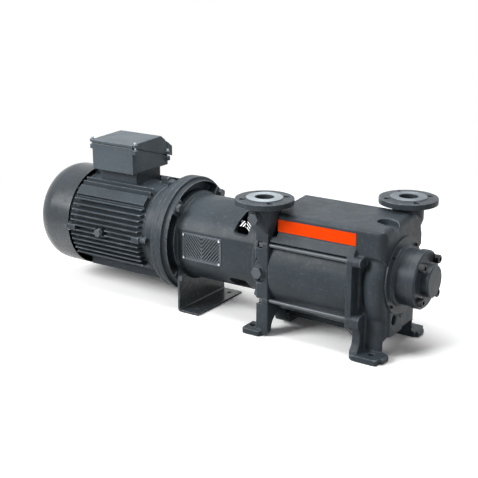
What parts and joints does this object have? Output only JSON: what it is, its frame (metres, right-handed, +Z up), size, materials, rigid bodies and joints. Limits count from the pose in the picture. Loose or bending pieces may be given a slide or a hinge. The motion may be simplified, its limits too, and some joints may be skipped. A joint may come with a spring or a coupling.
{
  "type": "liquid ring vacuum pump",
  "caption": "Close-coupled liquid ring vacuum pump: flange motor, bell housing, round working chamber, end casings on feet and two upright connection flanges.",
  "frame": {"origin": "on the floor, in the middle of the pump's four foot holes", "axes": "+X along the shaft from the motor to the pump's free end, +Y to the back (the side of the free end connection), +Z up"},
  "size_m": [1.311, 0.3909, 0.4876],
  "materials": {
    "enamel": "semi-gloss anthracite enamel on cast iron",
    "orange_film": "plain orange coating, satin",
    "black_steel": "black oxide",
    "zinc_steel": "bright zinc plating",
    "steel": "ground steel",
    "iron": "machined grey iron",
    "bronze": "cast tin bronze",
    "carbon": "carbon graphite",
    "elastomer": "moulded rubber",
    "winding_varnish": "varnished copper wire",
    "cast_aluminium": "die cast",
    "black_plastic": "moulded polyamide",
    "board_plastic": "phenolic board"
  },
  "bodies": {
    "pump_unit": {"drive_end_casing": "enamel", "free_end_casing": "enamel", "central_body": "enamel", "casing_plugs": "enamel", "bearing_housing": "enamel", "bearing_cover": "enamel", "bell_housing": "enamel", "support_bracket": "enamel", "motor_flange_shield": "enamel", "motor_frame": "enamel", "rear_end_shield": "enamel", "fan_cowl": "enamel", "terminal_box": "enamel", "terminal_lid": "enamel", "drive_bearing_cover": "enamel", "tie_rods": "enamel", "cover_screws": "black_steel", "housing_screws": "black_steel", "drive_cover_screws": "black_steel", "lid_screws": "black_steel", "front_guard": "zinc_steel", "back_guard": "zinc_steel", "guard_screws": "zinc_steel", "bell_bolts": "zinc_steel", "flange_bolts": "zinc_steel", "flange_nuts": "zinc_steel", "tie_rod_nuts": "zinc_steel", "end_shield_bolts": "zinc_steel", "earth_screw": "zinc_steel", "cowl_screws": "zinc_steel", "stator_core": "steel", "pump_outer_rings": "steel", "motor_outer_rings": "steel", "drive_end_port_plate": "iron", "free_end_port_plate": "iron", "bare_plate": "orange_film", "seal_seats": "carbon", "stator_windings": "winding_varnish", "terminal_gasket": "elastomer", "terminal_board": "board_plastic", "blanking_plugs": "black_plastic"},
    "motor_rotor": {"motor_shaft": "steel", "motor_key": "steel", "rotor_core": "steel", "rotor_cage": "cast_aluminium", "motor_fan": "black_plastic", "motor_inner_rings": "steel", "motor_coupling_hub": "iron"},
    "pump_rotor": {"pump_shaft": "steel", "pump_keys": "steel", "impeller": "bronze", "seal_rings": "steel", "pump_inner_rings": "steel", "bearing_locknut": "steel", "pump_coupling_hub": "iron", "coupling_spider": "elastomer"},
    "motor_balls": {"motor_ball_sets": "steel"},
    "pump_balls": {"pump_ball_sets": "steel"}
  },
  "joints": [
    {"name": "motor_spin", "type": "hinge", "parent": "pump_unit", "child": "motor_rotor", "pos_m": [-0.7, 0, 0.212], "axis": [1, 0, 0], "continuous": true},
    {"name": "pump_spin", "type": "hinge", "parent": "pump_unit", "child": "pump_rotor", "pos_m": [0, 0, 0.212], "axis": [1, 0, 0], "continuous": true},
    {"name": "motor_ball_spin", "type": "hinge", "parent": "pump_unit", "child": "motor_balls", "pos_m": [-0.7, 0, 0.212], "axis": [1, 0, 0], "continuous": true},
    {"name": "pump_ball_spin", "type": "hinge", "parent": "pump_unit", "child": "pump_balls", "pos_m": [0, 0, 0.212], "axis": [1, 0, 0], "continuous": true}
  ],
  "couplings": [
    {"joint": "pump_spin", "follows": "motor_spin", "ratio": 1},
    {"joint": "motor_ball_spin", "follows": "motor_spin", "ratio": 0.38},
    {"joint": "pump_ball_spin", "follows": "motor_spin", "ratio": 0.38}
  ]
}
